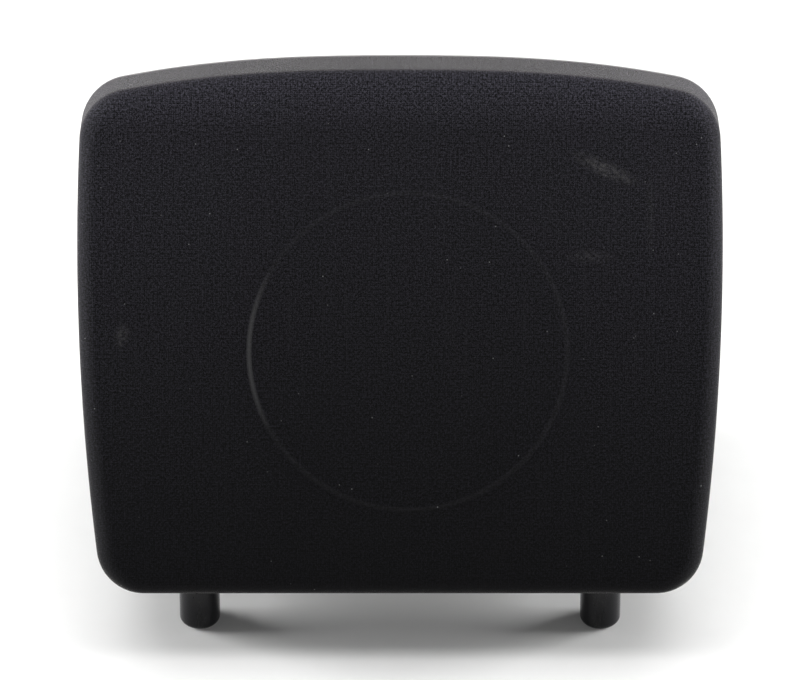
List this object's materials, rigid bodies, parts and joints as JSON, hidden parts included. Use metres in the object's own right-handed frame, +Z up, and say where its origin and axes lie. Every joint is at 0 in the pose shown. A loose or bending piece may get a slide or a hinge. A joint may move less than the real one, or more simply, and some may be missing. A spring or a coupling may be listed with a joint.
{
  "type": "stage monitor wedge",
  "caption": "Compact powered stage monitor wedge: leaning face under a pull-off stretch-cloth hood, coaxial driver, rear amplifier panel, hand cup and screw feet.",
  "frame": {"origin": "centre of the bounding box in plan, on the floor under the feet", "axes": "+Z up, the leaning face looks along -Y, +X to the right of someone facing the cloth"},
  "size_m": [0.477, 0.3766, 0.4081],
  "materials": {
    "cloth": "black stretch knit, matt with a faint sheen",
    "frame_plastic": "black moulded plastic",
    "rubber": "black rubber",
    "cast_basket": "black powder-coated casting",
    "black_screw": "black oxide steel",
    "plated_steel": "zinc-plated steel",
    "ferrite": "matt grey-black ferrite",
    "driver_can": "black painted",
    "horn_plastic": "black moulded plastic",
    "copper_coil": "enamelled copper winding",
    "paper_cone": "black doped paper",
    "spider_cloth": "resin-treated tan cloth",
    "cabinet_coat": "black textured structural foam moulding",
    "baffle_board": "black stained board",
    "port_plastic": "black moulded plastic",
    "handle_plastic": "black moulded plastic",
    "insert_brass": "plain brass",
    "foot_plastic": "gloss black",
    "amp_sheet": "black painted sheet steel",
    "socket_plastic": "black nylon",
    "knob_plastic": "black",
    "pot_metal": "plated steel",
    "rocker_plastic": "gloss black",
    "led_blue": "clear tinted blue",
    "sink_aluminium": "black anodised",
    "board_green": "green solder mask",
    "winding": "taped copper winding",
    "foam": "open foam felt"
  },
  "bodies": {
    "cabinet": {"cabinet_shell": "cabinet_coat", "front_baffle": "baffle_board", "driver_gasket": "rubber", "driver_basket": "cast_basket", "driver_screw_1": "black_screw", "driver_screw_2": "black_screw", "driver_screw_3": "black_screw", "driver_screw_4": "black_screw", "top_plate": "plated_steel", "magnet_ring": "ferrite", "pole_yoke": "plated_steel", "compression_driver": "driver_can", "horn_flare": "horn_plastic", "surround": "rubber", "spider": "spider_cloth", "port_tube_left": "port_plastic", "port_tube_right": "port_plastic", "grille_socket_1": "rubber", "grille_socket_2": "rubber", "grille_socket_3": "rubber", "grille_socket_4": "rubber", "hand_cup": "handle_plastic", "amp_panel": "amp_sheet", "input_socket_1": "socket_plastic", "input_socket_2": "socket_plastic", "link_socket": "socket_plastic", "pot_1": "pot_metal", "pot_2": "pot_metal", "pot_3": "pot_metal", "power_inlet": "socket_plastic", "switch_housing": "socket_plastic", "led_lens": "led_blue", "heat_sink": "sink_aluminium", "amp_board": "board_green", "transformer": "winding", "damping_pad": "foam", "amp_screw_1": "black_screw", "amp_screw_2": "black_screw", "amp_screw_3": "black_screw", "amp_screw_4": "black_screw", "foot_insert_front_left": "insert_brass", "foot_insert_front_right": "insert_brass", "foot_insert_rear_left": "insert_brass", "foot_insert_rear_right": "insert_brass"},
    "grille": {"grille_frame": "frame_plastic", "grille_cloth": "cloth"},
    "cone_body": {"cone": "paper_cone", "voice_coil": "copper_coil"},
    "volume_knob_1": {"knob_1": "knob_plastic"},
    "volume_knob_2": {"knob_2": "knob_plastic"},
    "tone_knob": {"knob_3": "knob_plastic"},
    "rocker": {"power_rocker": "rocker_plastic"},
    "foot_body_front_left": {"foot_front_left": "foot_plastic"},
    "foot_body_front_right": {"foot_front_right": "foot_plastic"},
    "foot_body_rear_left": {"foot_rear_left": "foot_plastic"},
    "foot_body_rear_right": {"foot_rear_right": "foot_plastic"}
  },
  "joints": [
    {"name": "grille_pull", "type": "slide", "parent": "cabinet", "child": "grille", "axis": [0, -0.866, 0.5], "range_m": [0, 0.12]},
    {"name": "cone_stroke", "type": "slide", "parent": "cabinet", "child": "cone_body", "axis": [0, -0.866, 0.5], "range_m": [-0.005, 0.005], "stiffness_N_per_m": 2500, "deforming": ["surround", "spider"]},
    {"name": "input_1_level", "type": "hinge", "parent": "cabinet", "child": "volume_knob_1", "pos_m": [0.118, 0.16071, 0.2128], "axis": [0, 1, 0], "range_deg": [-140, 140]},
    {"name": "input_2_level", "type": "hinge", "parent": "cabinet", "child": "volume_knob_2", "pos_m": [0.082, 0.16071, 0.2128], "axis": [0, 1, 0], "range_deg": [-140, 140]},
    {"name": "tone_turn", "type": "hinge", "parent": "cabinet", "child": "tone_knob", "pos_m": [0.046, 0.16071, 0.2128], "axis": [0, 1, 0], "range_deg": [-140, 140]},
    {"name": "power_rock", "type": "hinge", "parent": "cabinet", "child": "rocker", "pos_m": [0.046, 0.16481, 0.1108], "axis": [-1, 0, 0], "range_deg": [0, 16]},
    {"name": "screw_out_front_left", "type": "slide", "parent": "cabinet", "child": "foot_body_front_left", "axis": [0, 0, -1], "range_m": [0, 0.012]},
    {"name": "screw_out_front_right", "type": "slide", "parent": "cabinet", "child": "foot_body_front_right", "axis": [0, 0, -1], "range_m": [0, 0.012]},
    {"name": "screw_out_rear_left", "type": "slide", "parent": "cabinet", "child": "foot_body_rear_left", "axis": [0, 0, -1], "range_m": [0, 0.012]},
    {"name": "screw_out_rear_right", "type": "slide", "parent": "cabinet", "child": "foot_body_rear_right", "axis": [0, 0, -1], "range_m": [0, 0.012]}
  ]
}
